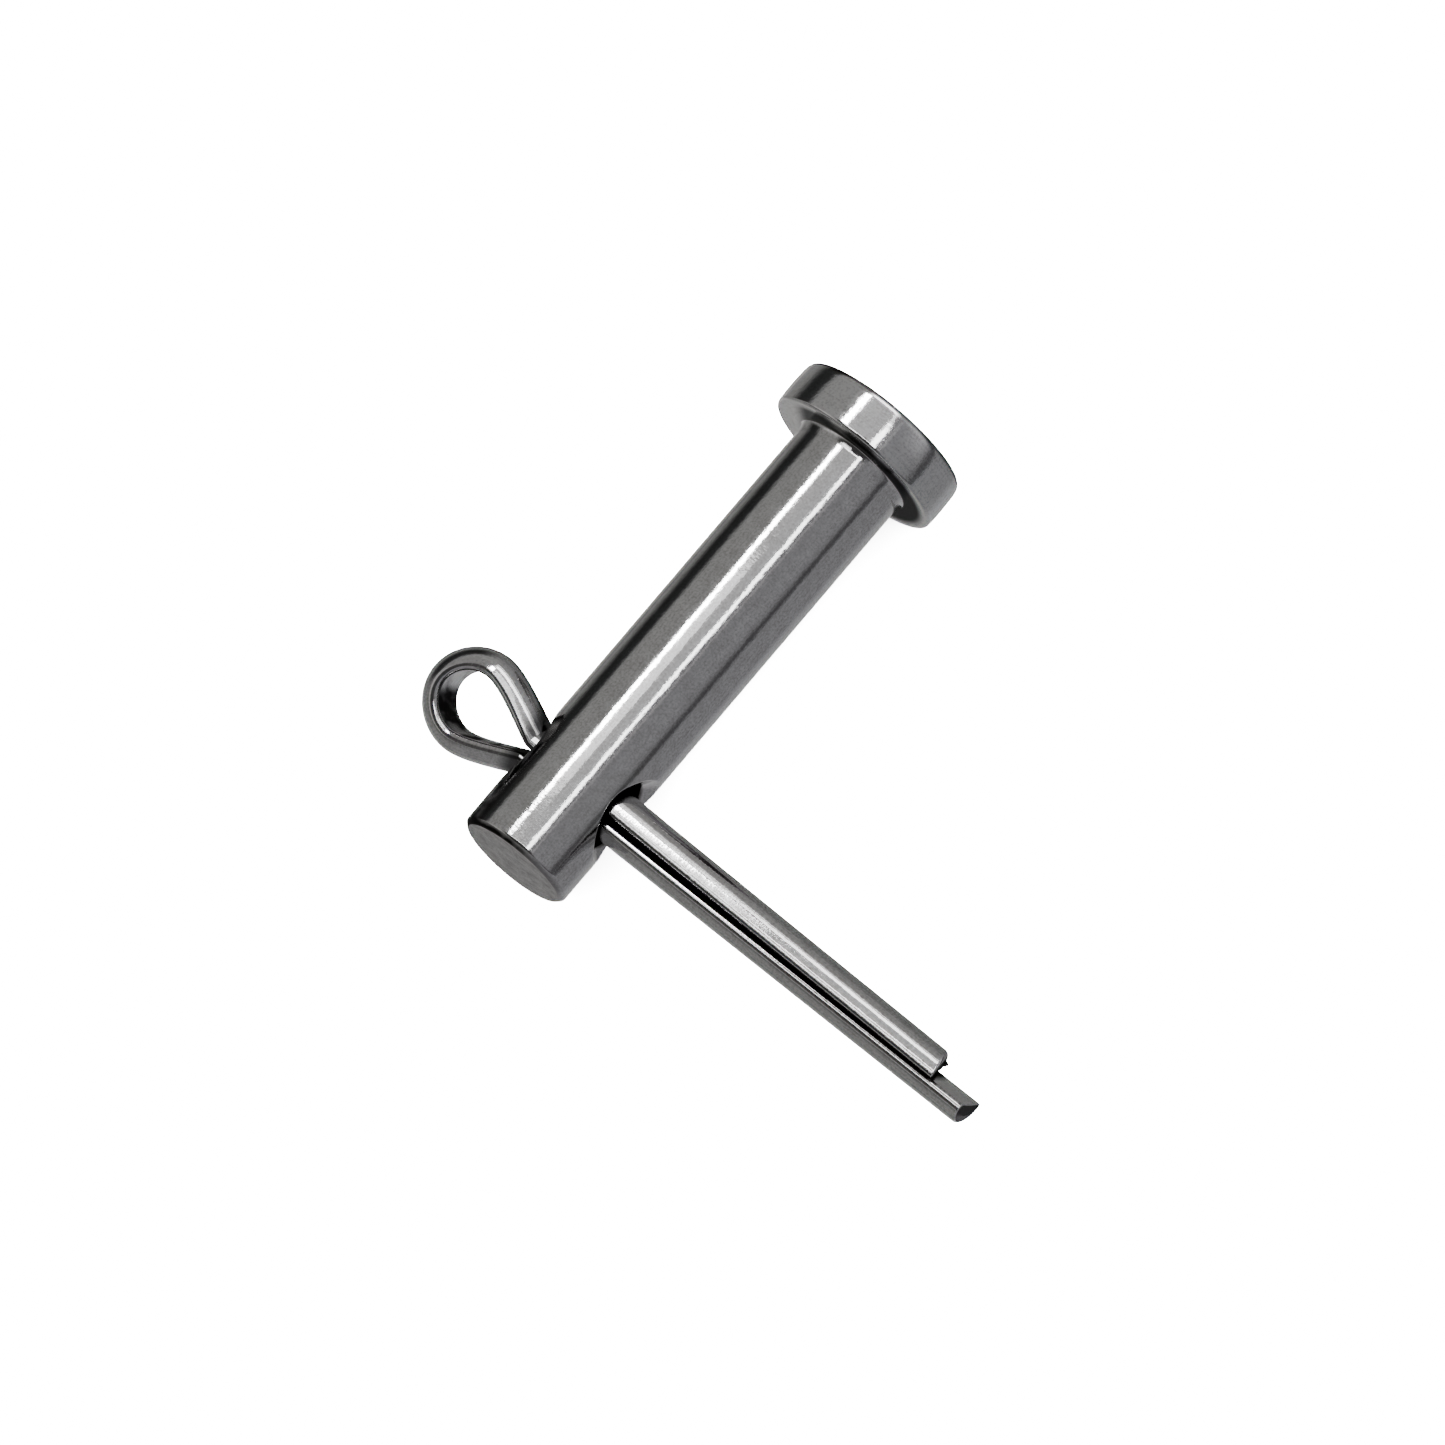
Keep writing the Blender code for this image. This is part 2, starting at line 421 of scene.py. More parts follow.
def head_profile():
    """The same, from the cross hole's band up to the top of the head."""
    start, neck = HOLE_FROM_TIP + HOLE_BAND, SHANK_LENGTH - FILLET_RISE
    side = [(SHANK_RADIUS, y, 1.0, 0.0) for y in steps(start, neck, SHANK_STEPS)]
    low, high = SHANK_LENGTH + HEAD_ROUND_UNDER, PIN_LENGTH - HEAD_ROUND_TOP
    rim = head_side(low, high)
    edge_r, crown = rim[0][0], math.degrees(HEAD_CROWN)
    inner = edge_r - HEAD_ROUND_UNDER
    seat = SHANK_RADIUS + FILLET_REACH
    under = [(r, SHANK_LENGTH, 0.0, -1.0) for r in steps(seat, inner, FLAT_STEPS)]
    corner = ((inner, SHANK_LENGTH), (edge_r, SHANK_LENGTH), (edge_r, low))
    under_edge = turn_corner(*corner, -90, -crown, TOP_STEPS)
    inner = edge_r - HEAD_ROUND_IN
    top_edge = head_edge(inner, high)
    top = [(r, PIN_LENGTH, 0.0, 1.0) for r in steps(inner, MIDDLE_RING, TOP_STEPS)]
    return side + head_fillet() + under + under_edge + rim + top_edge + top


def revolve(skin, profile):
    """Turns a profile round the pin's axis and gives its rows of vertices."""
    rows = []
    for r, y, normal_r, normal_y in profile:
        row = []
        for i in range(TURN_STEPS + 1):
            angle = math.tau * (i % TURN_STEPS) / TURN_STEPS
            c, s = math.cos(angle), math.sin(angle)
            row.append(skin.vertex((r * c, y, r * s), (normal_r * c, normal_y, normal_r * s)))
        rows.append(row)
    skin.strips(rows)
    return rows


def cutter(x):
    """The cross hole's radius at x, and its slope: a bore with a 45 degree countersink."""
    start = SHANK_RADIUS - COUNTERSINK_DEPTH
    t = (x - start) / COUNTERSINK_SOFTNESS
    grown = COUNTERSINK_SOFTNESS * math.log1p(math.exp(t))
    return HOLE_RADIUS + grown, 1 / (1 + math.exp(-t))


def shank_x(radius, turn):
    """The shank's x at a distance and an angle round the cross hole's axis."""
    return math.sqrt(max(SHANK_RADIUS**2 - (radius * math.cos(turn)) ** 2, 0.0))


def rim_corner(turn):
    """Where the cutter leaves the shank, at an angle round the cross hole's axis."""
    low, high = HOLE_RADIUS, HOLE_RADIUS + 2 * COUNTERSINK_DEPTH
    for _ in range(SEARCH_STEPS):
        middle = (low + high) / 2
        if cutter(shank_x(middle, turn))[0] > middle:
            low = middle
        else:
            high = middle
    return middle


def rim_profile(turn):
    """The hole's profile, inwards from the shank's surface.

    Each point is radius, x, normal radial, normal x and the share of the shank's own normal.
    """
    corner_r = rim_corner(turn)
    corner_x = shank_x(corner_r, turn)
    outer_r = corner_r + RIM_ROUND
    outer_x = shank_x(outer_r, turn)
    inner_x = corner_x - RIM_ROUND
    inner_r, inner_slope = cutter(inner_x)
    rows = []
    for t in steps(0.0, 1.0, RIM_STEPS):
        a, b, c = (1 - t) ** 2, 2 * t * (1 - t), t * t
        r = a * outer_r + b * corner_r + c * inner_r
        x = a * outer_x + b * corner_x + c * inner_x
        rows.append((r, x, -t, t * inner_slope, 1 - t))
    cone_end = SHANK_RADIUS - COUNTERSINK_DEPTH - 4 * COUNTERSINK_SOFTNESS
    cone_end = min(cone_end, inner_x - RIM_ROUND)
    cone, bore = steps(inner_x, cone_end, CONE_STEPS), steps(cone_end, 0.0, BORE_STEPS)
    for x in cone[1:] + bore[1:]:
        r, slope = cutter(x)
        rows.append((r, x, -1.0, slope, 0.0))
    return rows


def hole_patch(skin, side):
    """Half of the shank's band round the cross hole, and half of the bore. side is -1 or 1."""
    low, high = HOLE_FROM_TIP - HOLE_BAND, HOLE_FROM_TIP + HOLE_BAND
    quarter = TURN_STEPS // 4
    turns = [math.tau * i / TURN_STEPS for i in range(-quarter, quarter + 1)]
    heights = steps(low, high, BAND_STEPS)
    border = [(a, low) for a in turns]
    border += [(turns[-1], y) for y in heights[1:-1]]
    border += [(a, high) for a in reversed(turns)]
    border += [(turns[0], y) for y in reversed(heights[1:-1])]
    border.append(border[0])
    columns = []
    for angle, y in border:
        run, rise = angle * SHANK_RADIUS, y - HOLE_FROM_TIP
        turn = math.atan2(rise, run)
        rows = rim_profile(turn)
        edge_r = rows[0][0]
        edge_angle = math.asin(edge_r * math.cos(turn) / SHANK_RADIUS)
        edge_y = edge_r * math.sin(turn)
        column = []
        for t in steps(0.0, 1.0, PATCH_STEPS)[:-1]:
            t = t * (2 - t)
            a = angle + (edge_angle - angle) * t
            c, s = math.cos(a), math.sin(a)
            up = HOLE_FROM_TIP + rise + (edge_y - rise) * t
            place = (side * SHANK_RADIUS * c, up, SHANK_RADIUS * s)
            column.append(skin.vertex(place, (side * c, 0.0, s)))
        for r, x, normal_r, normal_x, own in rows:
            c, s = math.cos(turn), math.sin(turn)
            z, up = r * c, r * s
            normal = Vector((normal_x * side, normal_r * s, normal_r * c))
            a = math.asin(max(min(z / SHANK_RADIUS, 1), -1))
            normal += own * Vector((side * math.cos(a), 0.0, math.sin(a)))
            column.append(skin.vertex((side * x, HOLE_FROM_TIP + up, z), normal))
        columns.append(column)
    skin.strips(columns)


def clevis_pin():
    """The pin's tip, its head and shank, and between them the band with the cross hole."""
    skin = Skin()
    tip = revolve(skin, tip_profile())
    skin.fan(skin.vertex((0, 0, 0), (0, -1, 0)), tip[0])
    head = revolve(skin, head_profile())
    skin.fan(skin.vertex((0, PIN_LENGTH, 0), (0, 1, 0)), head[-1])
    for side in (1, -1):
        hole_patch(skin, side)
    return skin.make("clevis_pin_steel")


# ---------------------------------------------------------------- cotter pin


def cotter_knots():
    """(point, handle before, handle after) of the wire's flat, from the long leg's end on."""
    gap = LEG_HALF_GAP
    arm = ARM_HANDLE * (EYE_CENTRE - NECK)
    neck = NECK_HANDLE * (EYE_CENTRE - NECK)
    side = ROUND_HANDLE * EYE_DEPTH
    back = ROUND_HANDLE * EYE_HALF_WIDTH
    leg = (LONG_LEG + NECK) / 3
    lean = LEG_PINCH / 3
    return [
        ((LONG_LEG, LEG_PINCH - gap), (leg, lean), (-leg, -lean)),
        ((-NECK, -gap), (leg, lean), (-neck, 0.0)),
        ((-EYE_CENTRE, -EYE_HALF_WIDTH), (arm, 0.0), (-side, 0.0)),
        ((-EYE_CENTRE - EYE_DEPTH, 0.0), (0.0, -back), (0.0, back)),
        ((-EYE_CENTRE, EYE_HALF_WIDTH), (-side, 0.0), (arm, 0.0)),
        ((-NECK, gap), (-neck, 0.0), (leg, 0.0)),
        ((SHORT_LEG, gap), (-leg, 0.0), (leg, 0.0)),
    ]


def leg_bend(x):
    """How far the legs bend towards the head beyond the hole, and their slope there."""
    reach = max(x - BEND_START, 0.0)
    if reach < BEND_SOFTNESS:
        return LEG_BEND * reach**2 / (2 * BEND_SOFTNESS), LEG_BEND * reach / BEND_SOFTNESS
    return LEG_BEND * (reach - BEND_SOFTNESS / 2), LEG_BEND


def cotter_path():
    """(point, direction) along the wire's flat."""
    knots = cotter_knots()
    counts = [LEG_STEPS, EYE_STEPS, EYE_STEPS, EYE_STEPS, EYE_STEPS, LEG_STEPS]
    path = []
    for index, count in enumerate(counts):
        (start, _, out), (end, into, _) = knots[index], knots[index + 1]
        a, d = Vector(start), Vector(end)
        b, c = a + Vector(out), d + Vector(into)
        last = index == len(counts) - 1
        for t in steps(0.0, 1.0, count)[: None if last else -1]:
            near_start = a * (1 - t) ** 3 + b * 3 * t * (1 - t) ** 2
            point = near_start + c * 3 * t * t * (1 - t) + d * t**3
            slope = (b - a) * (1 - t) ** 2 + (c - b) * 2 * t * (1 - t) + (d - c) * t * t
            rise, lean = leg_bend(point.x)
            direction = Vector((slope.x, slope.y + lean * slope.x)).normalized()
            path.append((Vector((point.x, point.y + rise)), direction))
    return path


def wire_corner(r):
    """Where a corner of the wire's section has its middle, and the angle at which it begins."""
    corner_v = math.sqrt((WIRE_RADIUS - r) ** 2 - (r + LEG_HALF_GAP) ** 2)
    return corner_v, math.atan2(corner_v, r + LEG_HALF_GAP)


def wire_section(high, low):
    """(u, v, normal u, normal v) round the wire: u outwards from its flat, v along its width."""
    high_v, top = wire_corner(high)
    low_v, bottom = wire_corner(low)
    section = []
    for angle in steps(-bottom, top, ROUND_STEPS):
        c, s = math.cos(angle), math.sin(angle)
        section.append((WIRE_RADIUS * c - LEG_HALF_GAP, WIRE_RADIUS * s, c, s))
    for angle in steps(top, math.pi, CORNER_STEPS)[1:]:
        c, s = math.cos(angle), math.sin(angle)
        section.append((high + high * c, high_v + high * s, c, s))
    for v in steps(high_v, -low_v, WIRE_FLAT_STEPS)[1:]:
        section.append((0.0, v, -1.0, 0.0))
    for angle in steps(math.pi, math.tau - bottom, CORNER_STEPS)[1:]:
        c, s = math.cos(angle), math.sin(angle)
        section.append((low + low * c, -low_v + low * s, c, s))
    return section


def cotter_frame():
    """How the cotter lies: through the cross hole, askew and turned on its own axis."""
    shift = Matrix.Translation((0.0, HOLE_FROM_TIP, 0.0))
    return shift @ Matrix.Rotation(COTTER_YAW, 4, "Z") @ Matrix.Rotation(COTTER_SPIN, 4, "X")


def section_lengths(section):
    """How far round the section each point is from the middle of its round side."""
    lengths = [0.0]
    closed = [*section, section[0]]
    for before, after in zip(closed, closed[1:]):
        side = math.hypot(after[0] - before[0], after[1] - before[1])
        lengths.append(lengths[-1] + side)
    whole = lengths.pop()
    middle = WIRE_RADIUS * math.asin(-section[0][3])
    return [min(abs(length - middle), whole - abs(length - middle)) for length in lengths]


def end_radius(u, outer):
    """How round a sheared end is: more on the wire's outer side."""
    return END_ROUND + outer * max(0.0, u / (WIRE_RADIUS - LEG_HALF_GAP)) ** 2


class Wire:
    """The half-round wire swept along its path, with sheared ends."""

    def __init__(self, length):
        self.skin = Skin()
        self.length = length

    def ring(self, point, direction, along, shape=None):
        """One ring. shape(u, v) gives how far it is pushed along and pulled in, and its tilt."""
        across = Vector((-direction.y, direction.x))
        short = smooth_step(along, self.length - SHORT_LEG - 2 * NECK, self.length - SHORT_LEG)
        high = LONG_EDGE_ROUND + (SHORT_EDGE_ROUND - LONG_EDGE_ROUND) * short
        low = LOW_EDGE_ROUND + (SHORT_EDGE_ROUND - LOW_EDGE_ROUND) * short
        section = wire_section(high, low)
        row = []
        for (u, v, normal_u, normal_v), length in zip(section, section_lengths(section)):
            push, pull, turn = shape(u, v) if shape else (0.0, 0.0, 0.0)
            reach = math.hypot(u - WIRE_MIDDLE, v)
            scale = 1 - pull / reach
            u, v = WIRE_MIDDLE + (u - WIRE_MIDDLE) * scale, v * scale
            place = point + direction * push + across * u
            tilt, out = math.cos(turn), math.sin(turn)
            normal = across * normal_u * tilt + direction * out
            corner, normal = (place.x, place.y, v), (normal.x, normal.y, normal_v * tilt)
            row.append(self.skin.vertex(corner, normal, (along, length)))
        row.append(row[0])
        return row

    def end(self, point, direction, out, along, outer, slant, burr):
        """Rings over a sheared end and its cap. out is 1 at the path's end and -1 at its start."""
        rows = []
        for turn in steps(0.0, math.pi / 2, END_STEPS):
            turned = along + out * END_ROUND * turn
            shape = end_shape(turn, out, outer, slant)
            rows.append(self.ring(point, direction, turned, shape))
        rim = rows[-1][:-1]
        for size in CAP_SIZES:
            row = [self.cap_point(i, point, direction, size, out, slant, burr) for i in rim]
            rows.append([*row, row[0]])
        self.skin.fan(self.cap_point(rim[0], point, direction, 0.0, out, slant, burr), rows[-1])
        return rows

    def cap_point(self, rim, point, direction, size, out, slant, burr):
        """A point of a sheared end's cap, on the line from a rim point to the middle."""
        across = Vector((-direction.y, direction.x))
        place = self.skin.points[rim]
        rim_u = (Vector((place[0], place[1])) - point).dot(across)
        u = WIRE_MIDDLE + (rim_u - WIRE_MIDDLE) * size
        v = place[2] * size
        off = math.hypot(u - BURR_PLACE[0], v - BURR_PLACE[1]) / BURR_WIDTH
        raised = burr * math.exp(-off * off)
        made = point + direction * out * (slant * slant_share(v) + raised) + across * u
        normal = (direction.x * out, direction.y * out, 0.0)
        return self.skin.vertex((made.x, made.y, v), normal, self.skin.coordinates[rim])


def slant_share(v):
    """How far a slanted end is cut back: 0 near the wire's upper side, -1 near its lower side."""
    return (v - SLANT_TOP) / (2 * SLANT_TOP)


def end_shape(turn, out, outer, slant):
    """How a ring is shaped at an angle round a sheared end, for Wire.ring."""

    def shape(u, v):
        radius = end_radius(u, outer)
        push = slant * slant_share(v) - radius * (1 - math.sin(turn))
        return out * push, radius * (1 - math.cos(turn)), out * turn

    return shape


def path_length(path):
    """The length of the wire's path."""
    return sum((after[0] - before[0]).length for before, after in zip(path, path[1:]))


def cotter_pin():
    """The wire swept along its path, from the long leg's end to the short one's."""
    path = cotter_path()
    wire = Wire(path_length(path))
    end = path[-1][0]
    end_reach = SHORT_SLANT + END_ROUND + SHORT_END_ROUND_OUTER
    rows = []
    along = 0.0
    for index, (point, direction) in enumerate(path):
        if index:
            along += (point - path[index - 1][0]).length
        if index == 0:
            made = wire.end(point, direction, -1, along, LONG_END_ROUND_OUTER, LONG_SLANT, 0.0)
            rows += reversed(made)
        elif index == len(path) - 1:
            rows += wire.end(point, direction, 1, along, SHORT_END_ROUND_OUTER, SHORT_SLANT, BURR)
        elif min(along, (end - point).length) > end_reach:
            rows.append(wire.ring(point, direction, along))
    wire.skin.strips(rows)
    piece = wire.skin.make("cotter_pin_steel", "wire")
    piece.data.transform(cotter_frame())
    return piece


# ---------------------------------------------------------------- materials


class Field:
    """A number in a node tree. Arithmetic on it adds the nodes that work it out."""

    def __init__(self, tree, socket):
        self.tree = tree
        self.socket = socket

    def math(self, operation, *others):
        made = self.tree.nodes.new("ShaderNodeMath")
        made.operation = operation
        for index, value in enumerate((self, *others)):
            feed(self.tree, value, made.inputs[index])
        return Field(self.tree, made.outputs[0])

    def __add__(self, other):
        return self.math("ADD", other)

    def __sub__(self, other):
        return self.math("SUBTRACT", other)

    def __mul__(self, other):
        return self.math("MULTIPLY", other)

    def __truediv__(self, other):
        return self.math("DIVIDE", other)

    def __rsub__(self, other):
        return self * -1.0 + other

    def __neg__(self):
        return self * -1.0

    __radd__ = __add__
    __rmul__ = __mul__

    def above(self, low, high):
        """0 below low, 1 above high, with a smooth step between."""
        made = self.tree.nodes.new("ShaderNodeMapRange")
        made.interpolation_type = "SMOOTHSTEP"
        feed(self.tree, self, made.inputs["Value"])
        made.inputs["From Min"].default_value = low
        made.inputs["From Max"].default_value = high
        return Field(self.tree, made.outputs["Result"])

    def below(self, low, high):
        return 1.0 - self.above(low, high)


def feed(tree, value, socket):
    """Links a field to a socket, or sets a plain value on it."""
    if isinstance(value, Field):
        tree.links.new(value.socket, socket)
    else:
        socket.default_value = value


def coordinates(tree, output):
    """The three parts of a texture coordinate, as fields."""
    place = tree.nodes.new("ShaderNodeTexCoord")
    split = tree.nodes.new("ShaderNodeSeparateXYZ")
    tree.links.new(place.outputs[output], split.inputs[0])
    return [Field(tree, socket) for socket in split.outputs]


def blend(tree, amount, first, second):
    """A colour between two colours, each a tuple or a socket."""
    made = tree.nodes.new("ShaderNodeMix")
    made.data_type = "RGBA"
    feed(tree, amount, made.inputs["Factor"])
    for name, colour in (("A", first), ("B", second)):
        socket = next(i for i in made.inputs if i.name == name and i.type == "RGBA")
        if isinstance(colour, tuple):
            socket.default_value = (*colour, 1.0)
        else:
            tree.links.new(colour, socket)
    return next(o for o in made.outputs if o.type == "RGBA")


def noise(tree, parts, sizes, detail=PLAIN_DETAIL):
    """Noise about 0 over three fields, each with its own size of feature."""
    place = tree.nodes.new("ShaderNodeCombineXYZ")
    for part, size, socket in zip(parts, sizes, place.inputs):
        feed(tree, part / size, socket)
    made = tree.nodes.new("ShaderNodeTexNoise")
    made.inputs["Scale"].default_value = 1.0
    made.inputs["Detail"].default_value = detail
    tree.links.new(place.outputs[0], made.inputs["Vector"])
    return Field(tree, made.outputs[0]) - 0.5


def normal_parts(tree):
    """The parts of the surface's own direction."""
    geometry = tree.nodes.new("ShaderNodeNewGeometry")
    split = tree.nodes.new("ShaderNodeSeparateXYZ")
    tree.links.new(geometry.outputs["Normal"], split.inputs[0])
    return split.outputs


def bright(level, warmth):
    """A colour of that brightness, a little warm or cool."""
    return (level * (1 + warmth), level, level * (1 - warmth))


def steel(name, paint):
    """Polished steel under a black layer that paints shade and darkened patches. paint(tree) gives
    brightness, how much black, roughness, height.
    """
    material = bpy.data.materials.new(name)
    material.use_nodes = True
    tree = material.node_tree
    shader = tree.nodes["Principled BSDF"]
    shader.inputs["Metallic"].default_value = 1.0
    level, shade_and_darkening, roughness, height = paint(tree)
    dull = bright(POLISHED * DULLEST, DULL_WARMTH)
    clean = blend(tree, level, dull, bright(POLISHED * BRIGHTEST, BRIGHT_WARMTH))
    tree.links.new(clean, shader.inputs["Base Color"])
    feed(tree, roughness, shader.inputs["Roughness"])
    bump = tree.nodes.new("ShaderNodeBump")
    bump.inputs["Strength"].default_value = 1.0
    bump.inputs["Distance"].default_value = 1.0
    feed(tree, height, bump.inputs["Height"])
    tree.links.new(bump.outputs[0], shader.inputs["Normal"])
    # A black diffuse layer mixed over the steel: painted shade and darkened patches.
    shade_and_dark_layer = tree.nodes.new("ShaderNodeBsdfDiffuse")
    shade_and_dark_layer.inputs["Color"].default_value = BLACK
    cover = tree.nodes.new("ShaderNodeMixShader")
    feed(tree, shade_and_darkening, cover.inputs[0])
    tree.links.new(shader.outputs[0], cover.inputs[1])
    tree.links.new(shade_and_dark_layer.outputs[0], cover.inputs[2])
    tree.links.new(cover.outputs[0], tree.nodes["Material Output"].inputs["Surface"])
    return material


def worn(tree, place):
    """The wave and the grain that every polished face has."""
    wave = noise(tree, place, [WAVE_SIZE] * 3, FINE_DETAIL)
    grain = noise(tree, place, [GRAIN_SIZE] * 3)
    return wave, grain


def weighted(amounts, *fields):
    """The first amount, plus each field times its own amount."""
    total, *shares = amounts
    for field, share in zip(fields, shares):
        total = total + field * share
    return total


def paint_pin(tree):
    """Drawn lines on the shank, turned lines on its ends, painted shade under the head, in the bore
    and on the flank by the eye, and darkened patches on the tip and the head's edge.
    """
    place = coordinates(tree, "Object")
    x, y, z = place
    wave, grain = worn(tree, place)
    radius = (x * x + z * z).math("SQRT")
    from_hole = ((y - HOLE_FROM_TIP) * (y - HOLE_FROM_TIP) + z * z).math("SQRT")
    drawn = noise(tree, place, (LINE_SIZE, LINE_SIZE * LINE_STRETCH, LINE_SIZE))
    turned = noise(tree, (radius, y, x), (LINE_SIZE, LINE_SIZE, LINE_SIZE * TURNED_STRETCH))
    head = y.above(*HEAD_START)
    tip = y.below(*TIP_END)
    lines = drawn + (head + tip) * (turned * TURNED_DEPTH - drawn)
    # Painted shade under the head, on its underside where the fillet meets it: none at the far
    # left, deepest on the right.
    seat = y.above(*SEAT_START) * y.below(*SEAT_END)
    under = seat * x.above(*SEAT_LEFT) * radius.below(*SEAT_REACH) * SEAT_SHADE
    under = under + seat * x.above(*SEAT_RIGHT) * SEAT_RIGHT_SHADE
    # Painted shade inside the cross hole's bore, mottled.
    bore = from_hole.below(*BORE_EDGE) * (BORE_SHADE + wave * BORE_MOTTLE)
    # The tip's outer edge darkened on its upper left, mottled.
    shoulder = x.below(*TIP_EDGE_RIGHT) * z.above(*TIP_EDGE_LOW)
    tip_edge = tip * radius.above(*TIP_EDGE) * shoulder * (TIP_EDGE_DARKENING + wave)
    # Painted shade on the shank's upper left flank, from the tip to about the cross hole on the
    # eye's side, mottled.
    flank = x.below(*FLANK_EDGE) * y.below(*FLANK_END) * (FLANK_SHADE + wave)
    flank = flank * y.above(*FLANK_START) * z.above(*FLANK_LOW)
    # The head's top edge darkened all round.
    rim = y.above(*RIM_START) * radius.above(*RIM_EDGE) * RIM_DARKENING
    # The tip face darkened, mottled.
    face = tip * (FACE_DARKENING + wave * FACE_MOTTLE)
    # The painted shade and darkened patches together, capped.
    shade_and_darkening = (under + bore + tip_edge + flank + rim + face).math("MINIMUM", MOST_SHADE_AND_DARKENING)
    level = weighted(PIN_LEVEL, wave, grain, lines, head)
    roughness = weighted(PIN_ROUGHNESS, wave, grain, tip)
    height = wave * WAVE_HEIGHT + grain * GRAIN_HEIGHT + lines * LINE_HEIGHT
    return level, shade_and_darkening, roughness, height


def paint_cotter(tree):
    """Lines drawn along the wire, painted shade on its facing flats, its ends, the eye's sides and
    where it goes into the hole, and darkened blotches in the eye.
    """
    place = coordinates(tree, "Object")
    x, _, z = place
    along, around, _ = coordinates(tree, "UV")
    wave, grain = worn(tree, place)
    drawn = noise(tree, (along, around, z), (LINE_SIZE * LINE_STRETCH, LINE_SIZE, NO_CHANGE))
    blotch = noise(tree, place, BLOTCH_SIZES, FINE_DETAIL)
    flat = around.above(*WIRE_FLAT_EDGE)
    # Painted shade on the legs' facing flats, in the gap between them, up to the short leg's end.
    facing = flat * x.above(*EYE_END) * x.below(*FACING_END)
    # The eye's inner flat darkened in blotches.
    mottle = (BLOTCH_MIDDLE + blotch * BLOTCH_DEPTH).above(*BLOTCH_EDGE)
    eye = flat * x.below(*EYE_END) * mottle * EYE_DARKENING
    length = path_length(cotter_path())
    # Painted shade on both sheared end faces, a little lighter over the round side of the long
    # leg's end.
    shade = LONG_END_SHADE + (1.0 - LONG_END_SHADE) * around.above(*LONG_END_SIDE)
    ends = (-along).above(*END_EDGE) * shade + (along - length).above(*END_EDGE)
    # Painted shade on the eye's faces that turn sideways and only a little upwards, away from the
    # tip, mottled.
    _, side, upright = (Field(tree, part) for part in normal_parts(tree))
    flank = x.below(*EYE_FLANK_END) * side.above(*EYE_FLANK_SIDE) * upright.below(*EYE_FLANK_TOP)
    flank = flank * upright.above(*EYE_FLANK_LOW) * (1.0 + blotch)
    # Painted shade on the wire where it goes into the cross hole, on the eye's side.
    neck = x.below(*NECK_END) * x.above(*NECK_START) * NECK_SHADE
    # The painted shade and darkened patches together, capped.
    shade_and_darkening = (facing + eye + ends * SHEARED_END_SHADE + flank + neck).math("MINIMUM", MOST_SHADE_AND_DARKENING)
    level = weighted(COTTER_LEVEL, wave, grain, drawn)
    roughness = weighted(COTTER_ROUGHNESS, wave, grain, flat)
    height = wave * WAVE_HEIGHT * COTTER_WAVE + grain * GRAIN_HEIGHT + drawn * LINE_HEIGHT
    return level, shade_and_darkening, roughness, height


# ---------------------------------------------------------------- studio


def floor():
    """A plain pale floor that the object rests on, not seen in the steel."""
    mesh = bpy.data.meshes.new("floor")
    half = FLOOR_SIZE / 2
    low = cad_box[0][2]
    corners = [(-half, -half, low), (half, -half, low), (half, half, low), (-half, half, low)]
    mesh.from_pydata(corners, [], [(0, 1, 2, 3)])
    made = bpy.data.objects.new("floor", mesh)
    bpy.context.scene.collection.objects.link(made)
    material = bpy.data.materials.new("white_floor")
    material.use_nodes = True
    shader = material.node_tree.nodes["Principled BSDF"]
    shader.inputs["Base Color"].default_value = FLOOR_COLOUR
    shader.inputs["Roughness"].default_value = FLOOR_ROUGHNESS
    mesh.materials.append(material)
    made.visible_glossy = False
    return made


def lamps():
    """Level rectangles of light facing down, seen only in the steel."""
    for name, x, y, height, width, length, radiance in STRIPS:
        data = bpy.data.lights.new(name, "AREA")
        data.shape = "RECTANGLE"
        data.size = width * MM
        data.size_y = length * MM
        data.energy = radiance * math.pi * data.size * data.size_y
        made = bpy.data.objects.new(name, data)
        made.location = Vector((x, y, height)) * MM
        made.visible_camera = False
        made.visible_diffuse = False
        bpy.context.scene.collection.objects.link(made)


def floor_light():
    """Soft even light on the floor, not seen in the steel."""
    data = bpy.data.lights.new("floor_light", "SUN")
    data.energy = FLOOR_LIGHT * math.pi / FLOOR_ALBEDO
    data.angle = SOFTNESS
    made = bpy.data.objects.new("floor_light", data)
    made.visible_glossy = False
    made.visible_camera = False
    bpy.context.scene.collection.objects.link(made)


